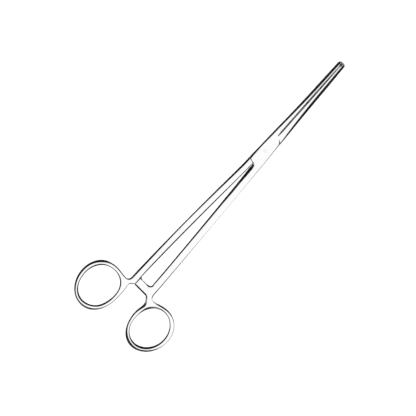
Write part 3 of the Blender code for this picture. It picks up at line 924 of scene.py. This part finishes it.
# %% Ratchet
def add_ratchet(arm, side, root_inner, end_inner, layer):
    """The tongue reaches from the inner edge of its own shank nearly to that of the other. Its
    layer is 1 for the upper tongue and -1 for the lower one."""
    inside = root_inner + 2 * MM
    tip = RATCHET_END_GAP - end_inner
    lift = RATCHET_TOP_Y + RATCHET_FILLET + RATCHET_FILLET_LIFT
    fillet = []
    for step in range(13):
        angle = radians(-7.5 * step)
        fillet.append((
            side * (root_inner - RATCHET_FILLET * (1 - cos(angle))),
            lift + RATCHET_FILLET * sin(angle),
        ))
    outline = [(side * inside, RATCHET_BOTTOM_Y - RATCHET_DROP), (side * inside, lift), *fillet]
    outline += [(side * tip, RATCHET_TOP_Y), (side * tip, RATCHET_BOTTOM_Y)]
    face = MID_Z + layer * RATCHET_SPLIT / 2
    back = face + layer * RATCHET_THICKNESS
    combine(arm, prism(arm.name + "_ratchet", outline, min(face, back), max(face, back)), "UNION")
    far = side * (tip - 2 * MM)
    root = side * (root_inner - RATCHET_FILLET)
    # Each edge has rows of x, y and half the furrow's width, only the last in millimetres. The
    # lower edge bends into the heel, where its slope runs out, and the upper follows the fillet.
    lower = [(far, RATCHET_BOTTOM_Y, 1.2)]
    for across, down, half in ((0.6, 0.57, 1.15), (1.9, 0.85, 0.9), (2.9, 1.4, 0.5), (3.8, 2.6, 0.2)):
        lower.append((side * (root_inner + across * MM), RATCHET_BOTTOM_Y - down * MM, half))
    end = [(side * tip, RATCHET_BOTTOM_Y + reach * MM, 0.25) for reach in (-2, 8)]
    upper = [
        (far, RATCHET_TOP_Y, 0.4),
        (side * (tip + 1.9 * MM), RATCHET_TOP_Y, 0.2),
        (root - side * 1.8 * MM, RATCHET_TOP_Y + 0.15 * MM, 0.4),
    ]
    upper += [(*spot, mix(1.1, 0.8, step / 12)) for step, spot in enumerate(reversed(fillet))]
    for edge in (lower, end, upper):
        rows = [(x, y, back, half * MM, 0.5 * half * MM) for x, y, half in edge]
        combine(arm, furrow(arm.name + "_ratchet_edge", rows, layer), "DIFFERENCE")
    # The fillet is ground on its inner face too, which on the lower tongue shows from above.
    rows = [(x, y, face, 0.9 * MM, 0.45 * MM) for x, y in fillet]
    combine(arm, furrow(arm.name + "_fillet_edge", rows, -layer), "DIFFERENCE")
    middle = (RATCHET_BOTTOM_Y + RATCHET_TOP_Y) / 2
    place = Matrix.Translation((side * (tip + 1.1 * MM), middle, face - layer * 0.02 * MM))
    flat = Matrix(((0, side, 0, 0), (0, 0, 1, 0), (layer, 0, 0, 0), (0, 0, 0, 1)))
    sizes = {
        "Count": 4,
        "Pitch": TOOTH_PITCH,
        "Width": 1.3 * MM,
        "Depth": 0.5 * MM,
        "Length": 9 * MM,
        "Lean": -0.9,
    }
    combine(arm, groove_row(arm.name + "_teeth", place @ flat, sizes), "DIFFERENCE")


# %% Finishing a piece
# Edges that turn more than this stay sharp; the others are shaded smooth.
SHARP_ANGLE = radians(22)


def settle(piece, body, node, finish):
    """Applies what is live, then gives the piece its finish and its body."""
    graph = bpy.context.evaluated_depsgraph_get()
    mesh = bpy.data.meshes.new_from_object(piece.evaluated_get(graph))
    piece.modifiers.clear()
    piece.data = mesh
    mesh.materials.clear()
    mesh.materials.append(finish)
    mesh.shade_smooth()
    mesh.set_sharp_from_angle(angle=SHARP_ANGLE)
    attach(piece, body)
    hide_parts(node)
    mesh.calc_loop_triangles()
    print(piece.name, len(mesh.loop_triangles), "triangles")


# %% [markdown]
# ## The two arms
# Each arm is one forging, so it is one mesh: the cage first, then what is milled and ground.
# The tables below give the widths of the ground slopes in millimetres, each at its y. They were
# set from how thick the photo's dark lines were measured to be. They are wide where the
# steel was ground back most: near the left ring, at the crotch and at the jaws.

# %% Pin hole
def circle(radius, sides=64):
    angles = [2 * pi * index / sides for index in range(sides)]
    return [(PIVOT_X + radius * cos(angle), PIVOT_Y + radius * sin(angle)) for angle in angles]


def pin_hole(name):
    return prism(name, circle(PIN_RADIUS + PIN_CLEARANCE), -CUT, CUT)


# %% Right arm
RIGHT_INNER = ((-75, 1.0), (-60, 0.95), (-50, 1.03), (-30, 1.15), (-10, 1.23), (0, 1.35))
RIGHT_OUTER = ((-75, 0.62), (-50, 0.5), (-40, 0.3), (-30, 0.21), (10, 0.19), (20, 0.28))
LEFT_JAW = (
    (50, 1.33), (60, 1.33), (70, 1.38), (80, 1.42), (85, 1.7), (90, 2.0), (105, 1.8), (118, 1.8),
)

# The inner edges of both shanks above their rings, and the right shank's end below the box.
RIGHT_START_X = 4.65 * MM
LEFT_START_X = 5.0 * MM
RIGHT_END_X = 0.75 * MM
RIGHT_END_WIDTH = 5.42 * MM
box_rims = heel_rims(outer=12.2 * MM, inner=8.9 * MM, drop=0)
box_rows = heel_sections(
    inner=RIGHT_START_X,
    turn_in=2.3 * MM,
    width=4.8 * MM,
    corner=1.2 * MM,
    inner_slope=0.75 * MM,
    outer_slope=0.75 * MM,
)
box_rows += shank_sections(
    inner=RIGHT_START_X,
    inner_end=RIGHT_END_X,
    width=4.77 * MM,
    width_end=RIGHT_END_WIDTH,
    swell=-0.25 * MM,
    bow=0.3 * MM,
    slopes=(RIGHT_INNER, RIGHT_OUTER),
)
box_rows += box_sections(RIGHT_END_X, RIGHT_END_WIDTH)
box_rows += jaw_sections(1, start=4.0 * MM, middle=2.95 * MM, table=LEFT_JAW)
box_arm = forge_arm("box_arm_forging", 1, right_ring.sections(*box_rims), box_rows)
cut_box(box_arm)
combine(box_arm, pin_hole("box_pin_hole"), "DIFFERENCE")
add_ratchet(box_arm, 1, root_inner=RIGHT_START_X, end_inner=LEFT_START_X, layer=1)
settle(box_arm, "box_arm", "box_arm", polished)

# %% Left arm
LEFT_INNER = ((-78, 0.7), (-73, 1.05), (-60, 0.92), (-10, 0.88), (5, 0.74), (20, 0.62))
LEFT_OUTER = (
    (-75, 1.46), (-60, 1.34), (-50, 0.94), (-40, 0.83), (-10, 1.02), (5, 1.24), (20, 1.46),
)
RIGHT_JAW = (
    (50, 0.6), (56, 1.0), (60, 1.4), (70, 1.44), (75, 1.7), (80, 1.86), (105, 1.8), (115, 1.65),
)

LEFT_END_X = 0.35 * MM
tongue_rims = heel_rims(outer=11.2 * MM, inner=7.3 * MM, drop=0.43 * MM)
tongue_rows = heel_sections(
    inner=LEFT_START_X,
    turn_in=3.4 * MM,
    width=4.55 * MM,
    corner=0.1 * MM,
    inner_slope=0.8 * MM,
    outer_slope=1.4 * MM,
)
tongue_rows += shank_sections(
    inner=5.05 * MM,
    inner_end=LEFT_END_X,
    width=4.5 * MM,
    width_end=4.53 * MM,
    swell=0.05 * MM,
    bow=0.35 * MM,
    slopes=(LEFT_INNER, LEFT_OUTER),
)
tongue_rows += tongue_sections(LEFT_END_X, 4.45 * MM)
tongue_rows += jaw_sections(-1, start=4.5 * MM, middle=3.45 * MM, table=RIGHT_JAW)
tongue_arm = forge_arm("tongue_arm_forging", -1, left_ring.sections(*tongue_rims), tongue_rows)
cut_tongue(tongue_arm)
combine(tongue_arm, pin_hole("tongue_pin_hole"), "DIFFERENCE")
add_ratchet(tongue_arm, -1, root_inner=LEFT_START_X, end_inner=RIGHT_START_X, layer=-1)
settle(tongue_arm, "tongue_arm", "tongue_arm", polished)

# %% [markdown]
# ## The pin
# The pin goes through both cheeks of the box and the tongue. It is ground flush, so all that shows
# of it is a disc in another finish, and a plain round prism is enough.

# %% Pin
pin = prism("riveted_lock_pin", circle(PIN_RADIUS), 0, BOX_THICKNESS)
settle(pin, "box_arm", "lock_pin", satin)
for tool in cutters:
    bpy.data.objects.remove(tool)

# %% [markdown]
# ## Bench and light
# The photo is high-key: a pure white bench, and steel that mirrors a white ceiling.
# The steel shows only as thin dark outlines, where it turns away and mirrors a dark room.
# So the world is white overhead and dark half-way up. Low down it is grey, as lit walls are,
# which the slopes don't mirror to the camera, and which keeps the steel from looking black from
# the sides.
# The bench gives off light for the camera and in mirrors only, so that it looks pure white there
# and still takes the shadow.

# %% Bench
build = bmesh.new()
bmesh.ops.create_grid(build, x_segments=1, y_segments=1, size=3)
bench = new_piece("white_bench", build)
white = bpy.data.materials.new("white_laminate")
white.use_nodes = True
tree = white.node_tree
tree.nodes.clear()
path = add_node(tree, "ShaderNodeLightPath")
seen = add_node(
    tree,
    "ShaderNodeMath",
    {},
    {0: path.outputs["Is Camera Ray"], 1: path.outputs["Is Glossy Ray"]},
    operation="MAXIMUM",
)
seen = add_node(
    tree,
    "ShaderNodeMath",
    {},
    {0: seen.outputs["Value"], 1: path.outputs["Is Transmission Ray"]},
    operation="MAXIMUM",
)
lit = add_node(tree, "ShaderNodeBsdfDiffuse", {"Color": steel_colour("#E8E8E8")})
glow = add_node(
    tree,
    "ShaderNodeEmission",
    {"Color": (1, 1, 1, 1), "Strength": 0.76},
)
both = add_node(
    tree, "ShaderNodeAddShader", {}, {0: lit.outputs["BSDF"], 1: glow.outputs["Emission"]}
)
pick = add_node(
    tree,
    "ShaderNodeMixShader",
    {},
    {0: seen.outputs["Value"], 1: lit.outputs["BSDF"], 2: both.outputs["Shader"]},
)
add_node(tree, "ShaderNodeOutputMaterial", {}, {"Surface": pick.outputs["Shader"]})
bench.data.materials.append(white)

# %% World
# The heights below are the sine of the angle above the horizon: 0 is level and 1 is overhead.
world = bpy.data.worlds.new("studio")
bpy.context.scene.world = world
world.use_nodes = True
tree = world.node_tree
tree.nodes.clear()
look = add_node(tree, "ShaderNodeTexCoord")
parts = add_node(tree, "ShaderNodeSeparateXYZ", {}, {"Vector": look.outputs["Generated"]})
ceiling = add_node(
    tree,
    "ShaderNodeMapRange",
    {"From Min": 0.8, "From Max": 0.96, "To Min": 0.008, "To Max": 1.14},
    {"Value": parts.outputs["Z"]},
    interpolation_type="SMOOTHSTEP",
)
walls = add_node(
    tree,
    "ShaderNodeMapRange",
    {"From Min": 0.42, "From Max": 0.53, "To Min": 0.42, "To Max": 0},
    {"Value": parts.outputs["Z"]},
    interpolation_type="SMOOTHSTEP",
)
room = add_node(
    tree,
    "ShaderNodeMath",
    {},
    {0: ceiling.outputs["Result"], 1: walls.outputs["Result"]},
    operation="ADD",
)
sky = add_node(
    tree, "ShaderNodeBackground", {"Color": (1, 1, 1, 1)}, {"Strength": room.outputs["Value"]}
)
add_node(tree, "ShaderNodeOutputWorld", {}, {"Surface": sky.outputs["Background"]})

scene = bpy.context.scene
scene.view_settings.view_transform = "Standard"
